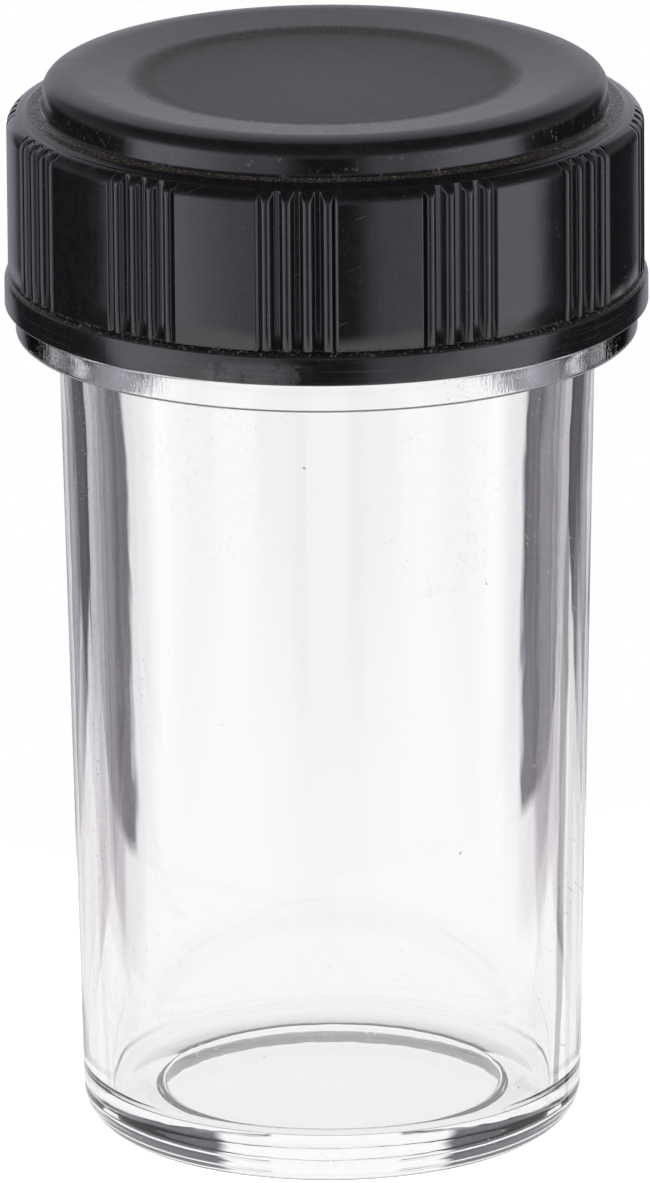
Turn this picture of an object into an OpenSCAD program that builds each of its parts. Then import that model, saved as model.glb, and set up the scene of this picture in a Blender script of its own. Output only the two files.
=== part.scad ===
// Gold sample vial: a clear moulded vial closed by a black screw cap with a
// laminated sealing disc. The origin is the centre of the foot, +Z is up,
// and the cap is drawn screwed home.

/* [Vial] */
// Height of the vial from its foot to its rim
vial_h = 47.5; // [47:0.1:47.8]
// Outside diameter of the body at the foot
foot_d = 23.44; // [23:0.02:24.5]
// Outside diameter of the body just under the collar
shoulder_d = 25; // [24:0.1:25.6]
// Radius that rounds the outer edge of the foot
foot_round = 1.95; // [1:0.05:3]
// Inside diameter at the rim
mouth_d = 22.5; // [22:0.1:23]
// Inside diameter at the floor
floor_d = 20.9; // [20:0.1:21.4]
// Height of the floor above the table
floor_h = 2.4; // [1.6:0.1:3]
// Diameter of the hollow under the foot
hollow_d = 16.4; // [14:0.1:18]
// Depth of the hollow under the foot
hollow_depth = 1; // [0.4:0.1:1.2]

/* [Collar and neck] */
// Diameter of the collar flange under the cap
collar_d = 29; // [28:0.1:29.6]
// Height of the collar's underside above the table
collar_low = 38.45; // [38.2:0.05:39]
// Thickness of the collar
collar_t = 1.35; // [1.2:0.05:1.6]
// Diameter of the neck between its threads
neck_d = 24.6; // [24.4:0.1:24.8]
// Outside diameter of the neck's thread
neck_thread_d = 26.3; // [26:0.1:26.4]

/* [Screw thread] */
// Height that one turn of the thread gains
lead = 3.2; // [3:0.1:3.6]
// Turns of thread on the neck
neck_turns = 1.5; // [1:0.1:1.6]
// Turns of thread inside the cap
cap_turns = 1.4; // [1:0.1:1.5]
// Width of a thread ridge at its root
ridge_root = 1.5; // [1.2:0.1:1.6]
// Width of a thread ridge at its crest
ridge_crest = 0.7; // [0.4:0.1:0.9]
// Height of the first turn's start on the neck, above the collar
thread_start = 1.4; // [1.2:0.1:1.6]

/* [Cap] */
// Overall height with the cap screwed home
overall_h = 50.95; // [50.6:0.05:51.4]
// Gap between the cap's foot and the collar
foot_gap = 0.1; // [0.05:0.05:0.4]
// Diameter of the bead round the cap's foot
bead_d = 30; // [29.8:0.1:31]
// Height of the bead
bead_h = 1.55; // [1:0.05:2]
// Diameter of the skirt over its plain panels
skirt_d = 29.66; // [29.4:0.02:29.7]
// Outside diameter of the flat ledge at the top of the skirt
ledge_d = 28.2; // [27.8:0.1:28.6]
// Height of the ledge above the cap's foot
ledge_h = 9.3; // [9.1:0.1:9.5]
// Height of the rounded shoulder below the ledge
shoulder_h = 0.85; // [0.6:0.05:1.2]
// Diameter of the raised boss
boss_d = 26.3; // [25.8:0.1:26.6]
// Diameter of the boss's crest ring
crest_d = 23.6; // [22:0.1:24]
// Diameter of the shallow recess in the boss
recess_d = 17.9; // [16:0.1:19]
// Drop from the crest ring to the lip of the recess
recess_lip_drop = 0.21; // [0.1:0.01:0.4]
// Depth of the recess's floor below the crest ring
recess_depth = 0.5; // [0.3:0.05:0.8]
// Inside diameter of the skirt between its threads
bore_d = 26.8; // [26.6:0.1:27]
// Inside diameter over the crests of the cap's thread
bore_thread_d = 25.1; // [25:0.1:25.4]

/* [Grip] */
// Number of rib groups round the skirt
rib_groups = 12; // [8:1:12]
// Number of ribs in a group
ribs = 4; // [2:1:4]
// Angle between neighbouring ribs
rib_pitch = 3.75; // [3.5:0.05:4]
// Angle that one group takes up
group_width = 14.4; // [14:0.1:16]
// Width of one rib
rib_w = 0.56; // [0.4:0.02:0.6]
// Depth of the grooves beside the ribs
groove_depth = 0.45; // [0.3:0.05:0.5]
// Angle of the first group, measured from +X
grip_turn = -5.3; // [-15:0.1:15]

/* [Liner] */
// Thickness of the liner's pulp board
board_t = 1; // [0.8:0.05:1.1]
// Thickness of the white film that seals on the rim
film_t = 0.16; // [0.1:0.02:0.3]
// Diameter of the liner
liner_d = 26.5; // [26:0.1:26.6]
// Gap left at each face of the liner
liner_gap = 0.02; // [0.01:0.01:0.05]

/* [Hidden] */

$fn = 120;
// Steps in a quarter of a rounded edge
round_steps = 8;

collar_top = collar_low + collar_t;
cap_foot = collar_top + foot_gap;
bead_top = cap_foot + bead_h;
ledge = cap_foot + ledge_h;
film_low = vial_h + liner_gap;
board_low = film_low + film_t;
cap_ceiling = board_low + board_t + liner_gap;

// Small rounds on moulded edges
collar_round = 0.3;
bead_round = 0.35;
rim_round = 0.4;
floor_fillet = 0.5;
hollow_fillet = 0.35;
// How far the hollow's wall leans out on its way down to the table
hollow_lean = 0.05;

// The boss rolls down a little from its crest before its tight edge turns into
// its wall, which ends in a fillet on the ledge
boss_roll_drop = 0.12;
boss_edge_round = 0.62;
boss_edge_start = 75;
boss_fillet = 0.35;
// Width of the slope between the recess's lip and its floor
recess_wall = 1.2;
// The shoulder bulges out through a point this far in from the skirt
shoulder_in = 0.2;
// Angle at which the bead's top edge leaves the skirt
bead_round_start = 60;
// Size of the chamfer that leads the neck into the cap
lead_in = 0.8;

// A thread ridge is buried this far in the wall that it stands on
ridge_bury = 0.2;
// Steps in one turn of the thread, and the turn's share that fades out
steps_per_turn = 48;
fade = 0.12;
// Gap between the flanks that bear on each other when the cap is home
flank_gap = 0.15;

neck_thread_z = collar_top + thread_start;
thread_offset = (ridge_root + ridge_crest) / 2 + flank_gap;
cap_thread_z = cap_foot + lead_in + ridge_root / 2;

// Points along a circular arc from one angle to another
function arc(centre, r, from, to) =
    [for (i = [0:round_steps])
        let (a = from + (to - from) * i / round_steps)
        centre + r * [cos(a), sin(a)]];

// How far a ridge has risen at a share t of its length, from 0 to 1
function rise(t, turns) = min(1, t * turns / fade, (1 - t) * turns / fade);

// Cross-section of a ridge, as [radius, height] points
function ridge_section(r_root, r_crest, h, z) =
    let (
        out = sign(r_crest - r_root),
        base = r_root - out * ridge_bury,
        crest = r_root - out * ridge_bury / 2 + (r_crest - r_root + out * ridge_bury / 2) * h,
        r_in = min(base, crest),
        r_out = max(base, crest),
        w_in = out > 0 ? ridge_root : ridge_crest,
        w_out = out > 0 ? ridge_crest : ridge_root
    )
    [[r_in, z - w_in / 2], [r_out, z - w_out / 2], [r_out, z + w_out / 2], [r_in, z + w_in / 2]];

// A helical ridge that starts at height z0 and angle a0
module thread_ridge(r_root, r_crest, z0, a0, turns) {
    steps = ceil(turns * steps_per_turn);
    points = [for (i = [0:steps])
        let (t = i / steps, a = a0 + 360 * turns * t)
        for (p = ridge_section(r_root, r_crest, rise(t, turns), z0 + lead * turns * t))
            [p[0] * cos(a), p[0] * sin(a), p[1]]];
    sides = [for (i = [0:steps - 1], j = [0:3])
        let (a = i * 4 + j, b = i * 4 + (j + 1) % 4)
        each [[a, b, b + 4], [a, b + 4, a + 4]]];
    last = steps * 4;
    ends = [[3, 2, 1, 0], [last, last + 1, last + 2, last + 3]];
    polyhedron(points, concat(sides, ends), convexity = 8);
}

// Half section of the clear moulding, from the hollow round to the floor
module vial_section() {
    foot_r = foot_d / 2;
    collar_r = collar_d / 2;
    floor_r = floor_d / 2;
    hollow_r = hollow_d / 2;
    polygon(concat(
        [[0, hollow_depth]],
        arc([hollow_r - hollow_fillet, hollow_depth - hollow_fillet], hollow_fillet, 90, 0),
        [[hollow_r + hollow_lean, 0]],
        arc([foot_r - foot_round, foot_round], foot_round, -90, 0),
        [[shoulder_d / 2, collar_low]],
        arc([collar_r - collar_round, collar_low + collar_round], collar_round, -90, 0),
        [[collar_r, collar_top], [neck_d / 2, collar_top]],
        arc([neck_d / 2 - rim_round, vial_h - rim_round], rim_round, 0, 90),
        [[mouth_d / 2, vial_h]],
        arc([floor_r - floor_fillet, floor_h + floor_fillet], floor_fillet, 0, -90),
        [[0, floor_h]]
    ));
}

// Half section of the cap without its grip, from the recess round to the ceiling
module cap_section() {
    recess_r = recess_d / 2;
    boss_r = boss_d / 2;
    ledge_r = ledge_d / 2;
    skirt_r = skirt_d / 2;
    bead_r = bead_d / 2;
    bore_r = bore_d / 2;
    roll_z = overall_h - boss_roll_drop;
    polygon(concat(
        [[0, overall_h - recess_depth], [recess_r - recess_wall, overall_h - recess_depth]],
        [[recess_r, overall_h - recess_lip_drop], [crest_d / 2, overall_h]],
        arc([boss_r - boss_edge_round, roll_z - boss_edge_round], boss_edge_round, boss_edge_start, 0),
        arc([boss_r + boss_fillet, ledge + boss_fillet], boss_fillet, 180, 270),
        [[ledge_r, ledge], [skirt_r - shoulder_in, ledge - shoulder_h / 2], [skirt_r, ledge - shoulder_h]],
        [[skirt_r, bead_top]],
        arc([bead_r - bead_round, bead_top - bead_round], bead_round, bead_round_start, 0),
        [[bead_r, cap_foot], [bore_r + lead_in / 2, cap_foot]],
        [[bore_r, cap_foot + lead_in], [bore_r, cap_ceiling], [0, cap_ceiling]]
    ));
}

// Plan of the material cut away round one group, with its ribs left standing
module group_cut() {
    skirt_r = skirt_d / 2;
    reach = bead_d;
    half = group_width / 2;
    difference() {
        polygon([[0, 0], reach * [cos(half), -sin(half)], reach * [cos(half), sin(half)]]);
        circle(r = skirt_r - groove_depth);
        for (i = [0:ribs - 1])
            rotate((i - (ribs - 1) / 2) * rib_pitch)
                translate([skirt_r - rib_w / 2, 0]) circle(d = rib_w, $fn = 24);
    }
}

module vial_body() {
    color([0.93, 0.94, 0.96, 0.35])
        union() {
            rotate_extrude() vial_section();
            thread_ridge(neck_d / 2, neck_thread_d / 2, neck_thread_z, 0, neck_turns);
        }
}

module screw_cap() {
    // The cap's ridge bears on the underside of the neck's
    turned = 360 * (cap_thread_z + thread_offset - neck_thread_z) / lead;
    color([0.09, 0.09, 0.1])
        union() {
            difference() {
                rotate_extrude() cap_section();
                for (i = [0:rib_groups - 1])
                    rotate(grip_turn + i * 360 / rib_groups)
                        translate([0, 0, bead_top]) linear_extrude(overall_h) group_cut();
            }
            thread_ridge(bore_d / 2, bore_thread_d / 2, cap_thread_z, turned, cap_turns);
        }
}

module liner_board() {
    color([0.76, 0.71, 0.6])
        translate([0, 0, board_low]) cylinder(h = board_t, d = liner_d);
}

module liner_facing() {
    color([0.95, 0.95, 0.93])
        translate([0, 0, film_low]) cylinder(h = film_t, d = liner_d);
}

vial_body();
screw_cap();
liner_board();
liner_facing();
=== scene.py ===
# %% [markdown]
# # A gold sample vial
# A clear moulded vial with a black screw cap, dressed over its CAD frame. The frame gives the place and the
# size of every piece, and this script only adds shape detail and finish. It works in metres, with +Z up and
# the centre of the vial's foot at the origin.

# %% Load the frame
import math

import bmesh
import bpy
from mathutils import Euler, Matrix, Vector


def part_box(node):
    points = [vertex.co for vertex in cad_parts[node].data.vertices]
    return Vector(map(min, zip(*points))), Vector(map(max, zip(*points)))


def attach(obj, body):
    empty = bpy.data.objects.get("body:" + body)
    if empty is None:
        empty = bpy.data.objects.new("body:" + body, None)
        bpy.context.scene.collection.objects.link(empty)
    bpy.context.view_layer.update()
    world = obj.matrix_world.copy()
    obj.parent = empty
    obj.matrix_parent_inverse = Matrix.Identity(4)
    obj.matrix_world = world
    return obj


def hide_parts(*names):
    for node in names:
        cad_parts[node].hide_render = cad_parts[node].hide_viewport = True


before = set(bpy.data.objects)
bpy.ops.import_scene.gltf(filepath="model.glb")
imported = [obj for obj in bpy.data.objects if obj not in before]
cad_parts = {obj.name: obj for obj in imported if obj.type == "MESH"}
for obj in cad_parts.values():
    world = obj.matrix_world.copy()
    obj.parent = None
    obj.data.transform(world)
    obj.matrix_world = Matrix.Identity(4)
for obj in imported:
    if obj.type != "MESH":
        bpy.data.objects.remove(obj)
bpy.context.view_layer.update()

# %% [markdown]
# ## Sizes
# The heights and the widest radii come from the frame's boxes. The rest are small sizes inside those boxes,
# such as wall thicknesses and rounds. Keeping them in one place means that a reader can change one and see
# what it does.

# %% Sizes from the frame
MM = 0.001
vial_low, vial_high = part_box("vial_body")
cap_low, cap_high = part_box("screw_cap")
board_low, board_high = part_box("liner_board")
film_low, film_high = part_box("liner_facing")

COLLAR_R = vial_high.x
RIM_Z = vial_high.z
BEAD_R = cap_high.x
CAP_FOOT = cap_low.z
CAP_TOP = cap_high.z
LINER_R = board_high.x
CEILING = board_high.z + 0.02 * MM
print("rim", round(RIM_Z, 5), "cap foot", round(CAP_FOOT, 5), "cap top", round(CAP_TOP, 5))

# %% Sizes of the vial
FOOT_R, SHOULDER_R, MOUTH_R, FLOOR_R = 11.72 * MM, 12.5 * MM, 11.25 * MM, 10.45 * MM
FOOT_ROUND, FLOOR_Z, FLOOR_FILLET = 1.95 * MM, 2.4 * MM, 0.5 * MM
HOLLOW_R, HOLLOW_Z, HOLLOW_LEAN = 8.2 * MM, 1.0 * MM, 0.05 * MM
HOLLOW_FILLET, HOLLOW_FOOT = 0.35 * MM, 0.12 * MM
CAP_GAP, COLLAR_HEIGHT = 0.1 * MM, 1.35 * MM
COLLAR_TOP = CAP_FOOT - CAP_GAP
COLLAR_LOW = COLLAR_TOP - COLLAR_HEIGHT
COLLAR_ROUND, COLLAR_EDGE = 0.3 * MM, 0.15 * MM
NECK_R, NECK_FILLET = 12.3 * MM, 0.2 * MM
RIM_ROUND, MOUTH_ROUND = 0.4 * MM, 0.2 * MM
print("mouth", round(2 * MOUTH_R / MM, 2), "mm across, collar from", round(COLLAR_LOW / MM, 2), "mm up")

# %% Sizes of the cap
SKIRT_R, LEDGE_R, BOSS_R, CREST_R, RECESS_R = 14.83 * MM, 14.1 * MM, 13.15 * MM, 11.8 * MM, 8.95 * MM
BEAD_TOP, BEAD_ROUND, BEAD_EDGE = CAP_FOOT + 1.55 * MM, 0.35 * MM, 0.1 * MM
PARTING, PARTING_HALF = 0.1 * MM, 0.05 * MM
LEDGE_Z = CAP_FOOT + 9.3 * MM
SHOULDER_DROP, SHOULDER_ROUND = 0.85 * MM, 0.73 * MM
EDGE_ROUND, EDGE_DROP, BOSS_FILLET = 0.75 * MM, 0.12 * MM, 0.35 * MM
RECESS_WALL, RECESS_DEPTH, RECESS_LIP, DISH = 0.9 * MM, 0.42 * MM, 0.1 * MM, 0.1 * MM
LIP_DROP = 0.21 * MM
BORE_R, LEAD_IN, BORE_FILLET = 13.4 * MM, 0.8 * MM, 0.3 * MM
print("boss", round(2 * BOSS_R / MM, 2), "mm across, ledge", round(LEDGE_Z / MM, 2), "mm up")

# %% Sizes of the screw thread
LEAD, THREAD_GAP = 3.2 * MM, 0.15 * MM
RIDGE_ROOT, RIDGE_CREST, RIDGE_H = 1.5 * MM, 0.7 * MM, 0.85 * MM
NECK_THREAD_Z, NECK_TURNS = COLLAR_TOP + 1.4 * MM, 1.5
CAP_THREAD_Z, CAP_TURNS = CAP_FOOT + LEAD_IN + RIDGE_ROOT / 2, 1.4
FLANKS = (RIDGE_ROOT + RIDGE_CREST) / 2 + THREAD_GAP
CAP_THREAD_TURN = 2 * math.pi * (CAP_THREAD_Z + FLANKS - NECK_THREAD_Z) / LEAD
print("the cap's ridge starts", round(math.degrees(CAP_THREAD_TURN), 1), "degrees round")

# %% [markdown]
# ## Camera
# A long lens from about 850 mm away, looking down 16 degrees, keeps the vial's sides nearly parallel and
# still shows the top of the cap.

# %% Camera
CAMERA_TILT = math.radians(16.458)
CAMERA_ROLL = math.radians(-0.431)
CAMERA_DISTANCE = 0.85
CAMERA_LENS = 552.3
AIM = Vector((-0.175 * MM, 0, 25 * MM))
AIM_RISE = 0.669 * MM

backward = Vector((0, -math.cos(CAMERA_TILT), math.sin(CAMERA_TILT)))
upward = Vector((0, math.sin(CAMERA_TILT), math.cos(CAMERA_TILT)))
camera_data = bpy.data.cameras.new("camera")
camera_data.lens = CAMERA_LENS
camera = bpy.data.objects.new("camera", camera_data)
bpy.context.collection.objects.link(camera)
camera.location = AIM + upward * AIM_RISE + backward * CAMERA_DISTANCE
turn = backward.to_track_quat("Z", "Y").to_matrix() @ Euler((0, 0, CAMERA_ROLL)).to_matrix()
camera.rotation_euler = turn.to_euler()
camera_data.clip_start, camera_data.clip_end = 0.05, 5
bpy.context.scene.camera = camera
bpy.context.scene.view_settings.view_transform = "Standard"
print("camera at", [round(v, 4) for v in camera.location])

# %% [markdown]
# ## Node helpers
# Materials, the world and the geometry trees are all graphs. These helpers let one line make a node, set
# its inputs and wire it, so that each tree below reads like the rule it stands for.


# %% Node helpers
class Graph:
    """Makes nodes in one tree. Values and sockets can be mixed in every call."""

    math_kind = "ShaderNodeMath"

    def __init__(self, tree):
        self.tree = tree

    def put(self, socket, value):
        if isinstance(value, bpy.types.NodeSocket):
            self.tree.links.new(value, socket)
        else:
            socket.default_value = value

    def node(self, kind, inputs=None, **settings):
        made = self.tree.nodes.new(kind)
        for name, value in settings.items():
            setattr(made, name, value)
        for name, value in (inputs or {}).items():
            self.put(made.inputs[name], value)
        return made

    def math(self, operation, *values):
        made = self.node(self.math_kind, operation=operation)
        for socket, value in zip(made.inputs, values):
            self.put(socket, value)
        return made.outputs[0]

    def add(self, a, b):
        return self.math("ADD", a, b)

    def sub(self, a, b):
        return self.math("SUBTRACT", a, b)

    def mul(self, a, b):
        return self.math("MULTIPLY", a, b)

    def div(self, a, b):
        return self.math("DIVIDE", a, b)

    def ramp(self, value, low, high, to_low=0.0, to_high=1.0):
        """Eases low..high onto to_low..to_high, held at both ends."""
        made = self.node("ShaderNodeMapRange", interpolation_type="SMOOTHSTEP", clamp=True)
        for name, v in (
            ("Value", value), ("From Min", low), ("From Max", high), ("To Min", to_low), ("To Max", to_high)
        ):
            self.put(made.inputs[name], v)
        return made.outputs["Result"]

    def window(self, value, low, high, soft):
        """1 between low and high, fading to 0 over soft on each side."""
        rise = self.ramp(value, low - soft, low)
        fall = self.ramp(value, high, high + soft, 1.0, 0.0)
        return self.mul(rise, fall)


print("node helpers:", ", ".join(name for name, made in vars(Graph).items() if callable(made)))


# %% [markdown]
# ## Stage
# Clear plastic shows almost nothing of itself: it shows what it bends into view. So the set matters as much
# as the material. A lit panel straight behind gives the bright middle, and the dim room on both sides of it
# draws the dark lines down the wall. Lamps and boards could be set up for this, but they would stand in the
# way of the other views. So the set is a world shader that reads only the direction that a ray leaves in,
# over a small white table. The panel is repeated at every eighth turn, so that the vial reads the same from
# all sides. What the surfaces mirror is another set: a sweep that fades upwards, and a soft box on each
# side at the front.

# %% Directions in the world
world = bpy.data.worlds.new("studio")
bpy.context.scene.world = world
world.use_nodes = True
world.node_tree.nodes.clear()
w = Graph(world.node_tree)

axes = w.node("ShaderNodeTexCoord").outputs["Generated"]
axes = w.node("ShaderNodeSeparateXYZ", {"Vector": axes}).outputs
DEGREES, PANEL_TURN = 180 / math.pi, 0.5
bearing = w.mul(w.math("ARCTAN2", axes["X"], w.mul(axes["Y"], -1.0)), DEGREES)
off_front = w.math("ABSOLUTE", bearing)
off_back = w.math("ABSOLUTE", w.math("WRAP", w.add(bearing, 180.0 - PANEL_TURN), 180.0, -180.0))
height = w.mul(w.math("ARCSINE", axes["Z"]), DEGREES)
print("directions:", len(world.node_tree.nodes), "nodes")

# %% The set that shines through the vial
PANEL_LIGHT, PANEL_HALF, PANEL_STEP = 0.99, 10.8, 45.0
SLIM_LIGHT, SLIM_HALF, SLIM_SPAN = 0.66, 5.5, (30.0, 60.0)
ROOM_LIGHT, WALL_LIGHT, WALL_SPAN = 0.11, 0.24, (17.0, 24.0)
SIDE_LIGHT, HIGH_SIDE_LIGHT = 0.55, 0.75
off_panel = w.math("ABSOLUTE", w.math("WRAP", off_back, PANEL_STEP / 2, -PANEL_STEP / 2))
slim = w.window(off_back, *SLIM_SPAN, 1.0)
half = w.add(PANEL_HALF, w.mul(slim, SLIM_HALF - PANEL_HALF))
shine = w.add(PANEL_LIGHT, w.mul(slim, SLIM_LIGHT - PANEL_LIGHT))
panel = w.mul(w.ramp(w.sub(off_panel, half), -0.6, 0.8, 1.0, 0.0), shine)
room = w.add(ROOM_LIGHT, w.mul(w.window(off_back, *WALL_SPAN, 3.0), WALL_LIGHT))
room = w.math("MAXIMUM", room, w.ramp(off_back, 60.0, 90.0, ROOM_LIGHT, SIDE_LIGHT))
low_set = w.math("MAXIMUM", panel, room)
high_back = w.ramp(off_back, 19.0, 22.0, 1.0, ROOM_LIGHT)
high_side = w.ramp(off_back, 56.0, 64.0, 0.0, HIGH_SIDE_LIGHT)
high_set = w.math("MAXIMUM", high_back, high_side)
above = w.ramp(height, -2.0, 2.0)
through = w.add(w.mul(low_set, w.sub(1.0, above)), w.mul(high_set, above))
print("panels are", 2 * PANEL_HALF, "degrees wide and", PANEL_STEP, "degrees apart")

# %% The set that the surfaces mirror
SWEEP_LIGHT, SWEEP_TOP = 0.7, 0.03
BOX_SPAN, BOX_LIGHT, BOX_FAR = (20.0, 80.0), 0.62, 2.1
LEAST_MIRRORED = 0.02
fade_up = w.mul(w.ramp(height, 8.0, 56.0, SWEEP_LIGHT, SWEEP_TOP), w.ramp(height, -16.0, 0.0, 0.6, 1.0))
behind = w.ramp(off_back, 24.0, 34.0, 1.0, 0.0)
beside = w.ramp(height, -4.0, 12.0, 0.04, 0.3)
sweep = w.mul(fade_up, w.math("MAXIMUM", behind, beside))
boxes = w.window(off_front, *BOX_SPAN, 10.0)
boxes = w.mul(boxes, w.ramp(height, 5.0, 30.0, BOX_LIGHT, 0.0))
boxes = w.mul(boxes, w.ramp(off_front, 28.0, 64.0, 1.0, BOX_FAR))
mirrored = w.math("MAXIMUM", w.math("MAXIMUM", sweep, boxes), LEAST_MIRRORED)
print("soft boxes stand", BOX_SPAN[0], "to", BOX_SPAN[1], "degrees off the front")

# %% World output
WHITE, DIM_TINT, MIRRORED_TINT = (1, 1, 1, 1), (0.99, 0.92, 1.1, 1), (0.96, 0.965, 1.08, 1)
rays = w.node("ShaderNodeLightPath").outputs
only_mirrored = w.mul(rays["Is Glossy Ray"], w.sub(1.0, rays["Is Transmission Ray"]))
light = w.add(w.mul(mirrored, only_mirrored), w.mul(through, w.sub(1.0, only_mirrored)))
light = w.math("MAXIMUM", light, w.math("MAXIMUM", rays["Is Diffuse Ray"], rays["Is Camera Ray"]))
tint = w.node("ShaderNodeMix", {"Factor": light}, data_type="RGBA")
w.put(tint.inputs["A"], DIM_TINT)
w.put(tint.inputs["B"], WHITE)
cool = w.node("ShaderNodeMix", {"Factor": only_mirrored}, data_type="RGBA")
w.put(cool.inputs["A"], tint.outputs["Result"])
w.put(cool.inputs["B"], MIRRORED_TINT)
sky = w.node("ShaderNodeBackground", {"Color": cool.outputs["Result"], "Strength": light})
w.node("ShaderNodeOutputWorld", {"Surface": sky.outputs[0]})
print("world:", len(world.node_tree.nodes), "nodes")

# %% [markdown]
# ## Table
# The table is a card that glows, and its sides are bowed in, so that it ends close behind the vial. Its
# glow is painted light, with dim bands and a dark streak for the vial to bend into view. Low on the vial
# the bent light still lands on the card, and higher up it runs past its edge into the room. That is what
# ends each dark line in a point above the foot. A cut sheet would give hard points, so the card is a plain
# square whose material fades out over a few millimetres along the bowed line.

# %% Table sheet
TABLE_HALF, TABLE_DROP = 110 * MM, 0.02 * MM
CARD_GREY = (0.2, 0.2, 0.2, 1)


def flat_sheet(name, half, z):
    mesh = bpy.data.meshes.new(name)
    bm = bmesh.new()
    bmesh.ops.create_grid(bm, x_segments=2, y_segments=2, size=half)
    bmesh.ops.translate(bm, verts=bm.verts, vec=(0, 0, z))
    bm.to_mesh(mesh)
    bm.free()
    made = bpy.data.objects.new(name, mesh)
    bpy.context.collection.objects.link(made)
    return made


table = flat_sheet("table", TABLE_HALF, -TABLE_DROP)
card = bpy.data.materials.new("glowing card")
card.use_nodes = True
t = Graph(card.node_tree)
card_shader = card.node_tree.nodes["Principled BSDF"]
card_shader.inputs["Base Color"].default_value = CARD_GREY
card_shader.inputs["Roughness"].default_value = 0.9
card_shader.inputs["Specular IOR Level"].default_value = 0.0
print("table:", round(2 * TABLE_HALF / MM), "mm square")

# %% Places on the card
EXIT_OUT, EXIT_BACK = 11.7 * MM, -2.8 * MM
FRONT_SPAN = 12 * MM
at = t.node("ShaderNodeSeparateXYZ", {"Vector": t.node("ShaderNodeTexCoord").outputs["Object"]}).outputs
across, along = t.math("ABSOLUTE", at["X"]), t.math("ABSOLUTE", at["Y"])
far, near = t.math("MAXIMUM", across, along), t.math("MINIMUM", across, along)
right = t.math("GREATER_THAN", at["X"], 0.0)
front = t.ramp(at["Y"], -FRONT_SPAN, 0.0, 1.0, 0.0)


def off_axis(side, ahead):
    """Degrees off an axis, seen from where the light leaves the vial's wall."""
    return t.mul(t.math("ARCTAN2", t.sub(side, EXIT_OUT), t.sub(ahead, EXIT_BACK)), DEGREES)


def dulled(bearing, ahead):
    """Bright along an axis and duller beside it, from closer to the axis near the vial."""
    start = t.ramp(ahead, 12 * MM, 28 * MM, 1.5, 10.0)
    return t.ramp(t.sub(bearing, start), 0.0, 2.5)


off_y = off_axis(across, along)
diagonal = t.mul(t.math("ARCTAN2", near, far), DEGREES)
corner = t.window(diagonal, 38.0, 45.0, 7.0)
print("places on the card:", len(card.node_tree.nodes), "nodes")

# %% Glow of the card
# Painted light: the card glows, bright in bands along X and Y and duller between them, with a painted dark
# streak where the wall bends light the most. These stand for the lit panel and the dim room seen through
# the vial. Camera rays get extra glow, so the card itself shows plain white.
CARD_GLOW, DULL_LOSS, CORNER_GAIN = 0.82, 0.33, 0.8
STREAK_SPAN, STREAK_LOSS, RIGHT_STREAK_LOSS = (38.0, 44.0), 0.14, 0.4
DULL_GLOW_TINT = (1.0, 0.91, 0.99, 1)
dull = t.math("MINIMUM", dulled(off_y, along), dulled(off_axis(along, across), across))
dull = t.mul(dull, t.sub(1.0, t.math("MAXIMUM", front, t.mul(corner, CORNER_GAIN))))
streak = t.add(STREAK_LOSS, t.mul(right, RIGHT_STREAK_LOSS))
streak = t.mul(t.window(off_y, *STREAK_SPAN, 2.0), streak)
streak = t.mul(streak, t.sub(1.0, front))
glow = t.sub(t.sub(CARD_GLOW, t.mul(dull, DULL_LOSS)), streak)
glow = t.add(glow, t.node("ShaderNodeLightPath").outputs["Is Camera Ray"])
t.put(card_shader.inputs["Emission Strength"], glow)
# The duller glow is tinted mauve: a painted tint of the dim room's light
dull_glow_tint = t.node("ShaderNodeMix", {"Factor": dull}, data_type="RGBA")
t.put(dull_glow_tint.inputs["A"], WHITE)
t.put(dull_glow_tint.inputs["B"], DULL_GLOW_TINT)
t.put(card_shader.inputs["Emission Color"], dull_glow_tint.outputs["Result"])
print("the card's glow runs from", round(CARD_GLOW - DULL_LOSS, 2), "to", CARD_GLOW)

# %% Edge of the card
EDGE, RIGHT_EDGE, FRONT_EDGE, EDGE_BOW = 33.5 * MM, 6 * MM, 22 * MM, 0.5
EDGE_SOFT, FRONT_EDGE_SOFT = 2 * MM, 24 * MM
edge = t.add(EDGE, t.mul(t.mul(right, t.sub(1.0, front)), RIGHT_EDGE))
edge = t.add(edge, t.add(t.mul(near, EDGE_BOW), t.mul(front, FRONT_EDGE)))
soft = t.add(EDGE_SOFT, t.mul(front, FRONT_EDGE_SOFT))
cover = t.sub(0.5, t.div(t.sub(far, edge), t.mul(soft, 2.0)))
t.put(card_shader.inputs["Alpha"], t.ramp(cover, 0.0, 1.0))
table.data.materials.append(card)
print("card:", len(card.node_tree.nodes), "nodes")

# %% [markdown]
# ## Turned shapes
# Both mouldings and the disc in the cap are turned shapes: a half section swept once round the axis. A Spin
# modifier could do it, but a Geometry Nodes tree can also space its steps unevenly, with many across the
# ribs and few across the plain panels, and it closes its own seam and poles.


# %% Geometry tree helpers
class GeometryGraph(Graph):
    """A Geometry Nodes tree with named inputs."""

    def __init__(self, name, sizes):
        super().__init__(bpy.data.node_groups.new(name, "GeometryNodeTree"))
        face = self.tree.interface
        face.new_socket("Geometry", in_out="INPUT", socket_type="NodeSocketGeometry")
        face.new_socket("Geometry", in_out="OUTPUT", socket_type="NodeSocketGeometry")
        for size, kind in sizes.items():
            face.new_socket(size, in_out="INPUT", socket_type=kind)
        self.inputs = self.node("NodeGroupInput").outputs
        self.end = self.node("NodeGroupOutput")

    def finish(self, geometry):
        whole = self.node("GeometryNodeRealizeInstances", {"Geometry": geometry}).outputs[0]
        whole = self.node(
            "GeometryNodeSetMaterial", {"Geometry": whole, "Material": self.inputs["Material"]}
        ).outputs[0]
        self.put(self.end.inputs["Geometry"], whole)


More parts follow.
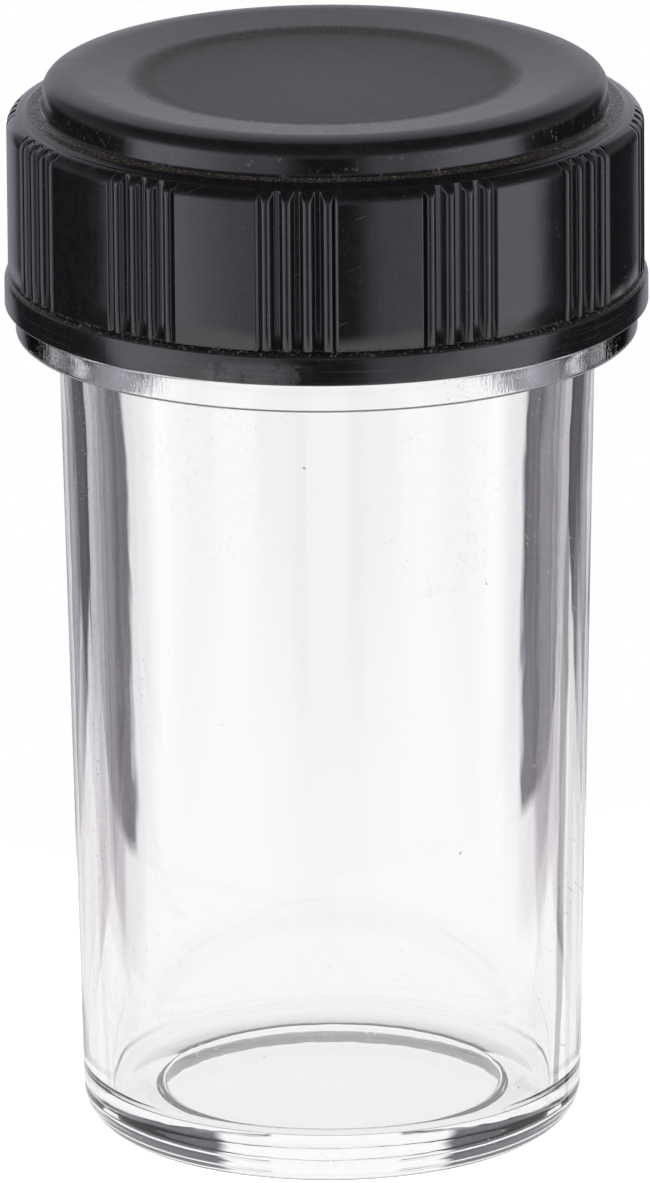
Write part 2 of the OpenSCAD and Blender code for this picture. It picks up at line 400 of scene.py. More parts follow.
def add_tree(target, graph, **sizes):
    """Puts a geometry tree on an object and sets its inputs by their identifiers."""
    modifier = target.modifiers.new(graph.tree.name, "NODES")
    modifier.node_group = graph.tree
    for item in graph.tree.interface.items_tree:
        key = item.name.lower().replace(" ", "_")
        if item.in_out == "INPUT" and key in sizes:
            modifier[item.identifier] = sizes.pop(key)
    assert not sizes, f"no such inputs: {list(sizes)}"


FLOAT, WHOLE, FINISH = "NodeSocketFloat", "NodeSocketInt", "NodeSocketMaterial"
print("a tree takes", FLOAT, WHOLE, "and", FINISH)

# %% Turning tree
turning = GeometryGraph(
    "turned section",
    {
        "Sectors": WHOLE, "Fine Steps": WHOLE, "Coarse Steps": WHOLE,
        "Fine Angle": FLOAT, "Start Angle": FLOAT, "Material": FINISH,
    },
)
g, size = turning, turning.inputs
section = size["Geometry"]
rows = g.node("GeometryNodeAttributeDomainSize", {"Geometry": section}).outputs["Point Count"]
sector_steps = g.add(size["Fine Steps"], size["Coarse Steps"])
columns = g.add(g.mul(sector_steps, size["Sectors"]), 1.0)
grid = g.node("GeometryNodeMeshGrid", {"Vertices X": columns, "Vertices Y": rows}).outputs["Mesh"]
index = g.node("GeometryNodeInputIndex").outputs[0]
column = g.math("FLOOR", g.div(g.add(index, 0.5), rows))
row = g.math("ROUND", g.sub(index, g.mul(column, rows)))
sector = g.math("FLOOR", g.div(g.add(column, 0.5), sector_steps))
step = g.sub(column, g.mul(sector, sector_steps))
sector_angle = g.div(2 * math.pi, size["Sectors"])
fine = g.mul(g.div(size["Fine Angle"], size["Fine Steps"]), g.math("MINIMUM", step, size["Fine Steps"]))
coarse = g.div(g.sub(sector_angle, size["Fine Angle"]), size["Coarse Steps"])
coarse = g.mul(coarse, g.math("MAXIMUM", g.sub(step, size["Fine Steps"]), 0.0))
angle = g.add(g.mul(sector, sector_angle), g.add(fine, coarse))
angle = g.add(angle, g.sub(size["Start Angle"], g.div(size["Fine Angle"], 2.0)))
place = g.node("GeometryNodeInputPosition").outputs[0]
point = g.node("GeometryNodeSampleIndex", {"Geometry": section, "Index": row}, data_type="FLOAT_VECTOR")
g.put(point.inputs["Value"], place)
point = g.node("ShaderNodeSeparateXYZ", {"Vector": point.outputs["Value"]})
swept = g.node("ShaderNodeCombineXYZ", {
    "X": g.mul(point.outputs["X"], g.math("COSINE", angle)),
    "Y": g.mul(point.outputs["X"], g.math("SINE", angle)),
    "Z": point.outputs["Z"],
}).outputs[0]
skin = g.node("GeometryNodeSetPosition", {"Geometry": grid, "Position": swept}).outputs[0]
skin = g.node("GeometryNodeMergeByDistance", {"Geometry": skin, "Distance": 1e-6}).outputs[0]
skin = g.node("GeometryNodeSetShadeSmooth", {"Geometry": skin}).outputs[0]
g.finish(skin)
print("turning tree:", len(turning.tree.nodes), "nodes")

# %% [markdown]
# ## Screw thread
# The thread is a ridge that climbs one lead a turn. Sweeping a profile along a helix and joining it to the
# neck leaves a hard seam, so instead this tree pushes the neck's own surface out where the helix passes,
# which keeps the moulding one skin. The same tree, with a negative height, makes the ridge inside the cap.

# %% Thread tree
threading = GeometryGraph(
    "screw thread",
    {
        "Root Radius": FLOAT, "Ridge Height": FLOAT, "Root Width": FLOAT, "Crest Width": FLOAT,
        "Lead": FLOAT, "Turns": FLOAT, "Start Height": FLOAT, "Start Turn": FLOAT, "Material": FINISH,
    },
)
g, size = threading, threading.inputs
place = g.node("GeometryNodeInputPosition").outputs[0]
at = g.node("ShaderNodeSeparateXYZ", {"Vector": place}).outputs
radius = g.math("SQRT", g.add(g.mul(at["X"], at["X"]), g.mul(at["Y"], at["Y"])))
around = g.div(g.sub(g.math("ARCTAN2", at["Y"], at["X"]), size["Start Turn"]), 2 * math.pi)
climb = g.sub(at["Z"], size["Start Height"])
half_lead = g.div(size["Lead"], 2.0)
off_ridge = g.math("WRAP", g.sub(climb, g.mul(around, size["Lead"])), half_lead, g.mul(half_lead, -1.0))
turns_up = g.div(g.sub(climb, off_ridge), size["Lead"])
fade_in = g.ramp(turns_up, 0.0, 0.12)
fade_out = g.ramp(g.sub(size["Turns"], turns_up), 0.0, 0.12)
flank = g.sub(g.div(size["Root Width"], 2.0), g.math("ABSOLUTE", off_ridge))
flank_width = g.div(g.sub(size["Root Width"], size["Crest Width"]), 2.0)
lift = g.ramp(flank, 0.0, flank_width)
lift = g.mul(g.mul(lift, size["Ridge Height"]), g.mul(fade_in, fade_out))
on_wall = g.math("COMPARE", radius, size["Root Radius"], 0.01 * MM)
growth = g.div(g.add(radius, g.mul(lift, on_wall)), radius)
moved = g.node("ShaderNodeCombineXYZ", {
    "X": g.mul(at["X"], growth), "Y": g.mul(at["Y"], growth), "Z": at["Z"],
}).outputs[0]
g.finish(g.node("GeometryNodeSetPosition", {"Geometry": size["Geometry"], "Position": moved}).outputs[0])
print("thread tree:", len(threading.tree.nodes), "nodes")

# %% [markdown]
# ## Sections
# A half section is a list of points from the axis, round the outside and back to the axis. It could be a
# drawn curve, but a list keeps every size in sight. Straight runs need only their ends, and every round is
# an arc given by its centre and radius, as a mould maker would draw it.


# %% Section helpers
def arc(centre, radius, start, end, steps=8):
    """Points [x, z] along an arc, with its angles in degrees."""
    points = []
    for i in range(steps + 1):
        a = math.radians(start + (end - start) * i / steps)
        points.append((centre[0] + radius * math.cos(a), centre[1] + radius * math.sin(a)))
    return points


def run(start, end, steps):
    """Points spaced evenly between two points, without the two."""
    return [
        tuple(s + (e - s) * i / steps for s, e in zip(start, end)) for i in range(1, steps)
    ]


def bowl(start, end, steps):
    """Points from a bowl's middle out to its edge, with the edge itself left out."""
    return [
        (start[0] + (end[0] - start[0]) * i / steps, start[1] + (end[1] - start[1]) * (i / steps) ** 2)
        for i in range(steps)
    ]


def step_up(start, end, steps):
    """Points up a soft step that starts and ends level."""
    return [
        (start[0] + (end[0] - start[0]) * i / steps, start[1] + (end[1] - start[1]) * ease(i / steps))
        for i in range(steps + 1)
    ]


def ease(t):
    return t * t * (3 - 2 * t)


def section_object(name, points):
    mesh = bpy.data.meshes.new(name)
    mesh.from_pydata([(x, 0, z) for x, z in points], [(i, i + 1) for i in range(len(points) - 1)], [])
    made = bpy.data.objects.new(name, mesh)
    bpy.context.collection.objects.link(made)
    return made


def plain_mesh(source, name):
    """The shape that the geometry trees give, as a mesh of its own with its faces outwards."""
    bpy.context.view_layer.update()
    graph = bpy.context.evaluated_depsgraph_get()
    mesh = bpy.data.meshes.new_from_object(source.evaluated_get(graph))
    bpy.data.objects.remove(source)
    bm = bmesh.new()
    bm.from_mesh(mesh)
    if bm.calc_volume(signed=True) < 0:
        bmesh.ops.reverse_faces(bm, faces=bm.faces)
    loose = sum(1 for edge in bm.edges if not edge.is_manifold)
    print(name, len(bm.faces), "faces,", loose, "open edges,", round(bm.calc_volume() * 1e9, 1), "mm3")
    bm.to_mesh(mesh)
    bm.free()
    mesh.name = name
    made = bpy.data.objects.new(name, mesh)
    bpy.context.collection.objects.link(made)
    return made


print("a quarter round takes", len(arc((0, 0), MM, 0, 90)), "points")

# %% [markdown]
# ## Material helpers
# Every finish below is a pattern in the piece's own coordinates, in millimetres, so that it stays on the
# piece when the piece moves and shows the same in every view. An image would need a layout of the surface
# and would blur up close, so all of them are made from noise.


# %% Material helpers
def millimetres(m):
    """The piece's own coordinates in millimetres, as one vector and as distance out, height and angle."""
    spot = m.node("ShaderNodeTexCoord").outputs["Object"]
    spot = m.node("ShaderNodeVectorMath", {"Vector": spot, "Scale": 1 / MM}, operation="SCALE").outputs[0]
    at = m.node("ShaderNodeSeparateXYZ", {"Vector": spot}).outputs
    out = m.math("SQRT", m.add(m.mul(at["X"], at["X"]), m.mul(at["Y"], at["Y"])))
    return spot, out, at["Z"], m.math("ARCTAN2", at["Y"], at["X"])


def noise(m, vector, scale, detail=2.0, rough=0.5):
    inputs = {"Vector": vector, "Scale": scale, "Detail": detail, "Roughness": rough}
    return m.node("ShaderNodeTexNoise", inputs).outputs["Fac"]


def stretched(m, vector, scales):
    """A vector scaled by a different amount along each axis."""
    return m.node("ShaderNodeVectorMath", {0: vector, 1: scales}, operation="MULTIPLY").outputs[0]


def combined(m, x, y, z):
    return m.node("ShaderNodeCombineXYZ", {"X": x, "Y": y, "Z": z}).outputs[0]


def mixed(m, factor, a, b):
    """Mixes two colours."""
    made = m.node("ShaderNodeMix", {"Factor": factor}, data_type="RGBA")
    m.put(made.inputs["A"], a)
    m.put(made.inputs["B"], b)
    return made.outputs["Result"]


def bump(m, height, distance):
    return m.node("ShaderNodeBump", {"Height": height, "Distance": distance}).outputs["Normal"]


def hairlines(m, vector, turn, thin, share):
    """Fine scratches: stretched noise where only its highest ridges are kept."""
    turned = m.node("ShaderNodeVectorRotate", {"Vector": vector}, rotation_type="EULER_XYZ")
    turned.inputs["Rotation"].default_value = turn
    drawn_out = stretched(m, turned.outputs[0], (thin, 0.35, thin))
    return m.ramp(noise(m, drawn_out, 1.0, 0.0), share, share + 0.04)


def crossed_hairlines(m, vector, *sets):
    """Two sets of hairlines, each given as its turn, thinness and share."""
    first, second = (hairlines(m, vector, *each) for each in sets)
    return m.math("MAXIMUM", first, second)


print("patterns run at", round(1 / MM), "units to the metre")

# %% [markdown]
# ## Clear plastic
# The vial is polystyrene or acrylic: nearly colourless, with a faint mauve cast where the light crosses
# several walls. A volume could hold that tint, and would be truer in the thick foot, but it costs time in
# every view. Here it is the base colour, which the light takes on at every surface that it crosses. Fine
# scratches, a little flow waviness from the mould and a few specks of dirt break up the surface.

# %% Clear plastic
CLEAR_TINT, DIRT = (0.984, 0.98, 0.984, 1), (0.3, 0.27, 0.26, 1)
FLOW_RELIEF, SCRATCH_RELIEF, COLLAR_RELIEF = 0.007, 0.005, 0.007
clear = bpy.data.materials.new("clear_plastic")
clear.use_nodes = True
m = Graph(clear.node_tree)
clear_shader = clear.node_tree.nodes["Principled BSDF"]
spot, out, up, turned_by = millimetres(m)
flow = noise(m, stretched(m, spot, (0.5, 0.5, 0.14)), 1.0)
marks = crossed_hairlines(m, spot, ((0.5, 0.3, 0.2), 9.0, 0.79), ((2.1, 0.4, 1.1), 10.0, 0.8))
handled = m.mul(m.ramp(noise(m, spot, 0.16, 1.0), 0.46, 0.6), m.ramp(out, 11.4, 11.6))
marks = m.mul(marks, handled)
on_collar = m.mul(m.ramp(out, 12.7, 13.1), m.window(up, 38.2, 39.9, 0.2))
radial = combined(m, m.mul(turned_by, 90.0), m.mul(out, 0.5), m.mul(up, 1.5))
radial = noise(m, radial, 1.0, 3.0, 0.7)
relief = m.add(m.mul(flow, FLOW_RELIEF), m.mul(marks, SCRATCH_RELIEF))
relief = m.add(relief, m.mul(m.mul(radial, on_collar), COLLAR_RELIEF))
m.put(clear_shader.inputs["Normal"], bump(m, relief, 1.0 * MM))
dots = m.node("ShaderNodeTexVoronoi", {"Vector": spot, "Scale": 0.22}).outputs["Distance"]
dots = m.ramp(dots, 0.012, 0.022, 1.0, 0.0)
m.put(clear_shader.inputs["Base Color"], mixed(m, dots, CLEAR_TINT, DIRT))
clear_shader.inputs["Roughness"].default_value = 0.0
clear_shader.inputs["IOR"].default_value = 1.55
clear_shader.inputs["Transmission Weight"].default_value = 1.0
print("clear plastic:", len(clear.node_tree.nodes), "nodes")

# %% [markdown]
# ## Vial
# The vial is one moulding with a heavy wall that thins a little towards the mouth, a collar, a threaded
# neck and a hollow under the foot. It could be a tube with a floor added, but every inner joint would then
# show as a line through the clear wall. So the outside, the rim, the inside and the floor are one half
# section, and the turned skin is closed, as light needs it to be.

# %% Vial section
vial_points = (
    [(0, HOLLOW_Z)]
    + run((0, HOLLOW_Z), (HOLLOW_R - HOLLOW_FILLET, HOLLOW_Z), 4)
    + arc((HOLLOW_R - HOLLOW_FILLET, HOLLOW_Z - HOLLOW_FILLET), HOLLOW_FILLET, 90, 0)
    + run((HOLLOW_R, HOLLOW_Z - HOLLOW_FILLET), (HOLLOW_R + HOLLOW_LEAN, HOLLOW_FOOT), 4)
    + arc((HOLLOW_R + HOLLOW_LEAN + HOLLOW_FOOT, HOLLOW_FOOT), HOLLOW_FOOT, 180, 270, 4)
    + arc((FOOT_R - FOOT_ROUND, FOOT_ROUND), FOOT_ROUND, -90, 0, 16)
    + run((FOOT_R, FOOT_ROUND), (SHOULDER_R, COLLAR_LOW - COLLAR_ROUND), 10)
    + arc((SHOULDER_R + COLLAR_ROUND, COLLAR_LOW - COLLAR_ROUND), COLLAR_ROUND, 180, 90, 6)
    + arc((COLLAR_R - COLLAR_ROUND, COLLAR_LOW + COLLAR_ROUND), COLLAR_ROUND, -90, 0)
    + arc((COLLAR_R - COLLAR_EDGE, COLLAR_TOP - COLLAR_EDGE), COLLAR_EDGE, 0, 90, 5)
    + arc((NECK_R + NECK_FILLET, COLLAR_TOP + NECK_FILLET), NECK_FILLET, 270, 180, 5)
    + run((NECK_R, COLLAR_TOP + NECK_FILLET), (NECK_R, RIM_Z - RIM_ROUND), 44)
    + arc((NECK_R - RIM_ROUND, RIM_Z - RIM_ROUND), RIM_ROUND, 0, 90, 7)
    + arc((MOUTH_R + MOUTH_ROUND, RIM_Z - MOUTH_ROUND), MOUTH_ROUND, 90, 180, 5)
    + run((MOUTH_R, RIM_Z - MOUTH_ROUND), (FLOOR_R, FLOOR_Z + FLOOR_FILLET), 12)
    + arc((FLOOR_R - FLOOR_FILLET, FLOOR_Z + FLOOR_FILLET), FLOOR_FILLET, 0, -90, 10)
    + run((FLOOR_R - FLOOR_FILLET, FLOOR_Z), (0, FLOOR_Z), 5)
    + [(0, FLOOR_Z)]
)
vial_section = section_object("vial section", vial_points)
print("vial section:", len(vial_points), "points")

# %% Turned and threaded vial
add_tree(
    vial_section, turning,
    sectors=1, fine_steps=360, coarse_steps=0, fine_angle=2 * math.pi, start_angle=0.0, material=clear,
)
add_tree(
    vial_section, threading,
    root_radius=NECK_R, ridge_height=RIDGE_H, root_width=RIDGE_ROOT, crest_width=RIDGE_CREST,
    lead=LEAD, turns=NECK_TURNS, start_height=NECK_THREAD_Z, start_turn=0.0, material=clear,
)
vial = plain_mesh(vial_section, "clear_vial")
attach(vial, "vial")
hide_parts("vial_body")

# %% [markdown]
# ## Grip ribs
# The grip is a rule too: twelve groups of four ribs, cut into a plain skirt. Instead of cutting with
# booleans, this tree works out how far out each direction may reach, from its angle alone, and holds the
# skirt's surface inside that. Where the shoulder rounds in below the groove's floor nothing is left to cut,
# which is what gives each groove its pointed arch.

# %% Grip tree
grip = GeometryGraph(
    "grip ribs",
    {
        "Groups": WHOLE, "Ribs": WHOLE, "Rib Pitch": FLOAT, "Group Angle": FLOAT,
        "Rib Width": FLOAT, "Groove Depth": FLOAT, "Skirt Radius": FLOAT, "Foot Height": FLOAT,
        "Turned": FLOAT, "Material": FINISH,
    },
)
g, size = grip, grip.inputs
place = g.node("GeometryNodeInputPosition").outputs[0]
at = g.node("ShaderNodeSeparateXYZ", {"Vector": place}).outputs
radius = g.math("SQRT", g.add(g.mul(at["X"], at["X"]), g.mul(at["Y"], at["Y"])))
group_turn = g.div(2 * math.pi, size["Groups"])
around = g.sub(g.math("ARCTAN2", at["Y"], at["X"]), size["Turned"])
in_group = g.math("WRAP", around, g.div(group_turn, 2.0), g.div(group_turn, -2.0))
slot_number = g.math("FLOOR", g.add(g.div(in_group, size["Rib Pitch"]), g.div(size["Ribs"], 2.0)))
last_rib = g.sub(size["Ribs"], 1.0)
slot_number = g.math("MINIMUM", g.math("MAXIMUM", slot_number, 0.0), last_rib)
rib_centre = g.mul(g.sub(slot_number, g.div(last_rib, 2.0)), size["Rib Pitch"])
off_rib = g.mul(g.math("ABSOLUTE", g.sub(in_group, rib_centre)), size["Skirt Radius"])
rib_r = g.div(size["Rib Width"], 2.0)
crown = g.math("SQRT", g.math("MAXIMUM", g.sub(g.mul(rib_r, rib_r), g.mul(off_rib, off_rib)), 0.0))
rib_reach = g.add(g.sub(size["Skirt Radius"], rib_r), crown)
groove_floor = g.sub(size["Skirt Radius"], size["Groove Depth"])
on_rib = g.math("LESS_THAN", off_rib, rib_r)
rib_rise = g.mul(on_rib, g.math("MAXIMUM", g.sub(rib_reach, groove_floor), 0.0))
reach = g.add(groove_floor, rib_rise)
past_group = g.math("GREATER_THAN", g.math("ABSOLUTE", in_group), g.div(size["Group Angle"], 2.0))
reach = g.add(reach, past_group)
below_grip = g.math("LESS_THAN", at["Z"], size["Foot Height"])
reach = g.add(reach, below_grip)
held = g.div(g.math("MINIMUM", radius, reach), g.math("MAXIMUM", radius, 1e-6))
moved = g.node("ShaderNodeCombineXYZ", {
    "X": g.mul(at["X"], held), "Y": g.mul(at["Y"], held), "Z": at["Z"],
}).outputs[0]
g.finish(g.node("GeometryNodeSetPosition", {"Geometry": size["Geometry"], "Position": moved}).outputs[0])
print("grip tree:", len(grip.tree.nodes), "nodes")

# %% [markdown]
# ## Cap plastic
# The cap is black moulded plastic that has been handled: polished on the skirt, satin on top, with a fine
# grain blasted into the floor of the recess. Brown dust sits where a finger can't reach, which is on the
# ledge round the boss, above the bead and in the corner of the recess. A painted mask could hold all this,
# but height and distance from the axis already say where each belongs, and noise breaks them up.

# %% Places on the cap
RECESS_MM, LEDGE_MM, BEAD_MM = RECESS_R / MM, LEDGE_Z / MM, BEAD_TOP / MM
DUST_REACH, SHELTERED_REACH = 13.5, 0.35
BEAD_FACE = (14.86, 14.95)
black = bpy.data.materials.new("cap_plastic")
black.use_nodes = True
m = Graph(black.node_tree)
black_shader = black.node_tree.nodes["Principled BSDF"]
spot, out, up, turned_by = millimetres(m)
on_top = m.ramp(up, LEDGE_MM + 1.0, LEDGE_MM + 1.3)
in_recess = m.mul(m.ramp(out, RECESS_MM - 0.5, RECESS_MM + 0.1, 1.0, 0.0), on_top)
recess_corner = m.mul(m.window(out, RECESS_MM - 0.8, RECESS_MM - 0.1, 0.5), on_top)
sheltered = m.ramp(m.node("ShaderNodeSeparateXYZ", {"Vector": spot}).outputs["Y"], -13.0, -7.0)
ledge_reach = m.add(DUST_REACH, m.mul(sheltered, SHELTERED_REACH))
on_ledge = m.ramp(m.sub(ledge_reach, out), -0.1, 0.1)
on_ledge = m.mul(on_ledge, m.window(up, LEDGE_MM - 0.02, LEDGE_MM + 0.1, 0.05))
on_bead = m.mul(m.ramp(out, 14.2, 14.5), m.window(up, BEAD_MM - 0.06, BEAD_MM + 0.05, 0.16))
in_skirt = m.ramp(out, 13.6, 14.0)
boss_front = m.mul(m.window(out, 12.7, 13.2, 0.15), m.window(up, LEDGE_MM + 0.15, LEDGE_MM + 0.9, 0.3))
print("dust reaches", DUST_REACH + SHELTERED_REACH, "mm out along the back of the ledge")

# %% Dust on the cap
grains = m.ramp(noise(m, spot, 9.0, 3.0, 0.7), 0.46, 0.62)
patches = m.ramp(noise(m, spot, 0.45, 2.0), 0.4, 0.62)
specks = m.ramp(noise(m, spot, 6.0, 1.0), 0.6, 0.68)
ledge_dust = m.mul(on_ledge, m.add(m.add(0.1, m.mul(grains, 0.35)), m.mul(specks, 0.6)))
bead_dust = m.mul(on_bead, m.add(m.mul(grains, m.mul(patches, 0.22)), m.mul(specks, 0.7)))
recess_dust = m.mul(m.add(m.mul(recess_corner, 0.2), m.mul(in_recess, 0.1)), m.add(0.3, grains))
dust = m.add(ledge_dust, m.add(bead_dust, recess_dust))
print("with dust:", len(black.node_tree.nodes), "nodes")

# %% Wear on the cap
THUMB_SPAN = (-1.93, -1.66)
streaks = combined(m, m.mul(turned_by, 40.0), m.mul(up, 0.5), out)
streaks = noise(m, streaks, 1.0, 3.0, 0.65)
rubbed = combined(m, m.mul(turned_by, 2.6), m.mul(up, 9.0), 0.0)
rubbed = m.mul(noise(m, rubbed, 1.0, 4.0, 0.7), m.ramp(out, *BEAD_FACE))
rubbed = m.mul(m.ramp(rubbed, 0.5, 0.66), 0.016)
flecks = combined(m, m.mul(turned_by, 34.0), m.mul(up, 2.2), 0.0)
flecks = m.ramp(noise(m, flecks, 1.0, 3.0, 0.7), 0.56, 0.7)
flecks = m.mul(m.mul(flecks, boss_front), m.mul(patches, 0.08))
marks = crossed_hairlines(m, spot, ((0.3, 0.5, 0.4), 14.0, 0.8), ((1.2, 0.2, 1.9), 12.0, 0.8))
smudges = m.mul(m.ramp(noise(m, spot, 1.3, 5.0, 0.7), 0.42, 0.7), 0.005)
thumb = m.mul(m.window(turned_by, *THUMB_SPAN, 0.06), m.ramp(out, *BEAD_FACE))
thumb = m.mul(thumb, m.ramp(noise(m, spot, 1.1, 3.0, 0.6), 0.42, 0.52))
thumb = m.mul(thumb, m.mul(m.ramp(up, BEAD_MM - 0.75, BEAD_MM - 0.35, 1.0, 0.0), 0.03))
worn = m.add(m.add(rubbed, flecks), m.add(m.mul(marks, 0.02), m.add(smudges, thumb)))
worn = m.add(worn, m.mul(in_recess, m.add(0.008, m.mul(grains, 0.022))))
print("with wear:", len(black.node_tree.nodes), "nodes")

# %% Colour, gloss and relief of the cap
BLACK_RED, BLACK_GREEN, BLACK_BLUE = 0.0062, 0.006, 0.0068
DUST_BROWN = (0.165, 0.135, 0.1, 1)
POLISHED, SATIN, BLASTED = 0.17, 0.12, 0.12
bare = m.node("ShaderNodeCombineColor", {"Red": m.add(worn, BLACK_RED), "Green": m.add(worn, BLACK_GREEN)})
m.put(bare.inputs["Blue"], m.add(m.mul(worn, 1.04), BLACK_BLUE))
m.put(black_shader.inputs["Base Color"], mixed(m, dust, bare.outputs[0], DUST_BROWN))

satin = m.add(POLISHED, m.mul(on_top, SATIN))
satin = m.add(satin, m.mul(in_recess, BLASTED))
satin = m.add(satin, m.mul(m.sub(streaks, 0.5), 0.12))
satin = m.add(satin, m.mul(dust, 0.5))
m.put(black_shader.inputs["Roughness"], m.add(satin, m.mul(flecks, 2.0)))
black_shader.inputs["Specular IOR Level"].default_value = 0.85

blasted = m.mul(noise(m, spot, 4.6, 3.0, 0.8), m.mul(in_recess, 0.06 * MM))
dusty = m.mul(grains, m.mul(dust, 0.08 * MM))
drawn = m.mul(streaks, m.mul(in_skirt, 0.0025 * MM))
waved = m.mul(noise(m, spot, 0.5, 1.0), 0.006 * MM)
relief = m.add(m.add(blasted, dusty), m.add(drawn, waved))
relief = m.sub(relief, m.mul(marks, 0.003 * MM))
m.put(black_shader.inputs["Normal"], bump(m, m.div(relief, MM), 1.0 * MM))
print("cap plastic:", len(black.node_tree.nodes), "nodes")

# %% [markdown]
# ## Cap
# The cap is one moulding too: a boss with a shallow dished recess, a ledge, a ribbed skirt and a bead
# round the foot, over a threaded bore. It could be a cylinder with a bevel, but each of its rounds has its
# own size, and they are what catch the light. So it is a half section like the vial's, and the turning,
# grip and thread trees work on it in that order.

# %% Cap section
recess_z = CAP_TOP - RECESS_DEPTH
lip_r, lip_z = RECESS_R + RECESS_LIP, CAP_TOP - LIP_DROP
roll_z = CAP_TOP - EDGE_DROP
cap_points = (
    bowl((0, recess_z - DISH), (RECESS_R - RECESS_WALL, recess_z), 8)
    + step_up((RECESS_R - RECESS_WALL, recess_z), (lip_r, lip_z), 10)
    + run((lip_r, lip_z), (CREST_R, CAP_TOP), 6)
    + [(CREST_R, CAP_TOP)]
    + arc((BOSS_R - EDGE_ROUND, roll_z - EDGE_ROUND), EDGE_ROUND, 75, 0, 12)
    + arc((BOSS_R + BOSS_FILLET, LEDGE_Z + BOSS_FILLET), BOSS_FILLET, 180, 270, 7)
    + run((BOSS_R + BOSS_FILLET, LEDGE_Z), (LEDGE_R, LEDGE_Z), 3)
    + arc((SKIRT_R - SHOULDER_ROUND, LEDGE_Z - SHOULDER_DROP), SHOULDER_ROUND, 90, 0, 20)
    + run((SKIRT_R, LEDGE_Z - SHOULDER_DROP), (SKIRT_R, BEAD_TOP + PARTING_HALF), 6)
    + [(SKIRT_R, BEAD_TOP + PARTING_HALF), (SKIRT_R - PARTING, BEAD_TOP - PARTING_HALF)]
    + arc((BEAD_R - BEAD_ROUND, BEAD_TOP - BEAD_ROUND), BEAD_ROUND, 90, 0, 8)
    + arc((BEAD_R - BEAD_EDGE, CAP_FOOT + BEAD_EDGE), BEAD_EDGE, 0, -90, 4)
    + [(BORE_R + LEAD_IN / 2, CAP_FOOT)]
    + run((BORE_R, CAP_FOOT + LEAD_IN), (BORE_R, CEILING - BORE_FILLET), 38)
    + arc((BORE_R - BORE_FILLET, CEILING - BORE_FILLET), BORE_FILLET, 0, 90, 4)
    + [(5 * MM, CEILING), (0, CEILING)]
)
cap_section = section_object("cap section", cap_points)
print("cap section:", len(cap_points), "points")

# %% Turned, ribbed and threaded cap
GROUPS, RIBS = 12, 4
RIB_PITCH, GROUP_ANGLE = math.radians(3.75), math.radians(14.4) - 0.001
RIB_WIDTH, GROOVE_DEPTH = 0.56 * MM, 0.45 * MM
GRIP_TURN = math.radians(-5.3)
add_tree(
    cap_section, turning,
    sectors=GROUPS, fine_steps=48, coarse_steps=10, fine_angle=RIBS * RIB_PITCH, start_angle=GRIP_TURN,
    material=black,
)
add_tree(
    cap_section, grip,
    groups=GROUPS, ribs=RIBS, rib_pitch=RIB_PITCH, group_angle=GROUP_ANGLE, rib_width=RIB_WIDTH,
    groove_depth=GROOVE_DEPTH, skirt_radius=SKIRT_R, foot_height=BEAD_TOP, turned=GRIP_TURN, material=black,
)
add_tree(
    cap_section, threading,
    root_radius=BORE_R, ridge_height=-RIDGE_H, root_width=RIDGE_ROOT, crest_width=RIDGE_CREST,
    lead=LEAD, turns=CAP_TURNS, start_height=CAP_THREAD_Z, start_turn=CAP_THREAD_TURN, material=black,
)
cap = plain_mesh(cap_section, "ribbed_cap")
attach(cap, "cap")
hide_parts("screw_cap")

# %% [markdown]
# ## Pulp board and sealing film
# Inside the cap sits a disc of pressed pulp board with a white film on its face. The board is layered and
# shows short fibres, and the film is smooth, a little cloudy, and polished where the vial's rim presses on
# it. Flat colours would do for pieces that are mostly hidden, but the cap comes off, so each has a finish.

# %% Pulp board finish
PULP_DARK, PULP_LIGHT, FIBRE = (0.4, 0.31, 0.2, 1), (0.6, 0.5, 0.35, 1), (0.72, 0.64, 0.5, 1)
pulp = bpy.data.materials.new("liner_board")
pulp.use_nodes = True
m = Graph(pulp.node_tree)
pulp_shader = pulp.node_tree.nodes["Principled BSDF"]
spot = millimetres(m)[0]
layers = noise(m, stretched(m, spot, (1.4, 1.4, 9.0)), 1.0, 5.0, 0.65)
fibres = crossed_hairlines(m, spot, ((0.2, 0.1, 0.7), 7.0, 0.62), ((1.5, 0.2, 2.3), 8.0, 0.62))
pulp_colour = mixed(m, m.ramp(layers, 0.3, 0.7), PULP_DARK, PULP_LIGHT)
pulp_colour = mixed(m, m.mul(fibres, 0.6), pulp_colour, FIBRE)
m.put(pulp_shader.inputs["Base Color"], pulp_colour)
m.put(pulp_shader.inputs["Roughness"], m.add(0.8, m.mul(layers, 0.15)))
m.put(pulp_shader.inputs["Normal"], bump(m, m.add(m.mul(layers, 0.05), m.mul(fibres, 0.02)), 1.0 * MM))
pulp_shader.inputs["Specular IOR Level"].default_value = 0.25
print("pulp board:", len(pulp.node_tree.nodes), "nodes")

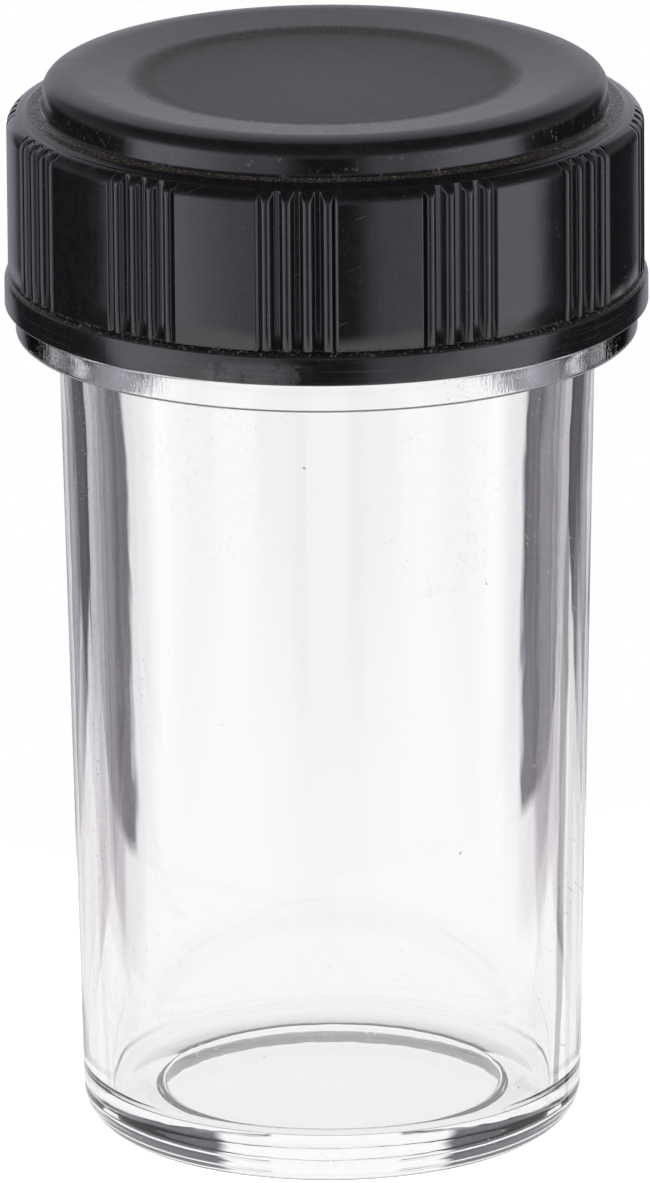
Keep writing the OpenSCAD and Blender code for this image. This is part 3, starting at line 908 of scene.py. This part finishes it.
# %% Sealing film finish
FILM_SHADE, FILM_LIGHT, FILM_PRESSED = (0.8, 0.79, 0.75, 1), (0.88, 0.875, 0.85, 1), (0.62, 0.59, 0.52, 1)
film_white = bpy.data.materials.new("liner_film")
film_white.use_nodes = True
m = Graph(film_white.node_tree)
film_shader = film_white.node_tree.nodes["Principled BSDF"]
spot, out = millimetres(m)[:2]
cloudy = noise(m, spot, 0.35, 4.0, 0.6)
creases = crossed_hairlines(m, spot, ((0.1, 0.3, 1.2), 10.0, 0.7), ((0.4, 0.1, 2.6), 9.0, 0.7))
pressed = m.window(out, MOUTH_R / MM, NECK_R / MM, 0.15)
film_colour = mixed(m, m.ramp(cloudy, 0.35, 0.7), FILM_SHADE, FILM_LIGHT)
film_colour = mixed(m, m.mul(pressed, 0.35), film_colour, FILM_PRESSED)
m.put(film_shader.inputs["Base Color"], film_colour)
m.put(film_shader.inputs["Roughness"], m.sub(0.42, m.mul(pressed, 0.16)))
m.put(film_shader.inputs["Normal"], bump(m, m.add(m.mul(cloudy, 0.02), m.mul(creases, 0.006)), 1.0 * MM))
print("sealing film:", len(film_white.node_tree.nodes), "nodes")

# %% [markdown]
# ## Sealing disc
# The disc is die-cut from sheet, so its edge is square with only a hint of a round, and the film keeps the
# print of the vial's rim as a shallow groove. A plain cylinder would miss both, so each layer is a half
# section swept by the same turning tree.

# %% Disc helpers
CUT_ROUND, FILM_ROUND = 0.12 * MM, 0.04 * MM
PRINT_DEPTH, PRINT_SLOPE = 0.05 * MM, 0.15 * MM


def disc_section(low, high, edge_round, print_points=()):
    """Half section of a die-cut disc, with the points of any print in its underside."""
    rim = LINER_R - edge_round
    last_r = print_points[-1][0] if print_points else rim
    return (
        [(0, high)]
        + run((0, high), (rim, high), 8)
        + arc((rim, high - edge_round), edge_round, 90, 0, 5)
        + arc((rim, low + edge_round), edge_round, 0, -90, 5)
        + list(print_points)
        + run((last_r, low), (0, low), 8)
        + [(0, low)]
    )


def disc(name, points, finish):
    section = section_object(name + " section", points)
    add_tree(
        section, turning,
        sectors=1, fine_steps=180, coarse_steps=0, fine_angle=2 * math.pi, start_angle=0.0, material=finish,
    )
    made = plain_mesh(section, name)
    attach(made, "liner")
    return made


print("disc:", round(2 * LINER_R / MM, 2), "mm across")

# %% Pulp board
board = disc("pulp_board", disc_section(board_low.z, board_high.z, CUT_ROUND), pulp)
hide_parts("liner_board")

# %% Sealing film
rim_print = [(NECK_R, 0), (NECK_R - PRINT_SLOPE, 1), (MOUTH_R + PRINT_SLOPE, 1), (MOUTH_R, 0)]
rim_print = [(r, film_low.z + share * PRINT_DEPTH) for r, share in rim_print]
film = disc("sealing_film", disc_section(film_low.z, film_high.z, FILM_ROUND, rim_print), film_white)
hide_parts("liner_facing")
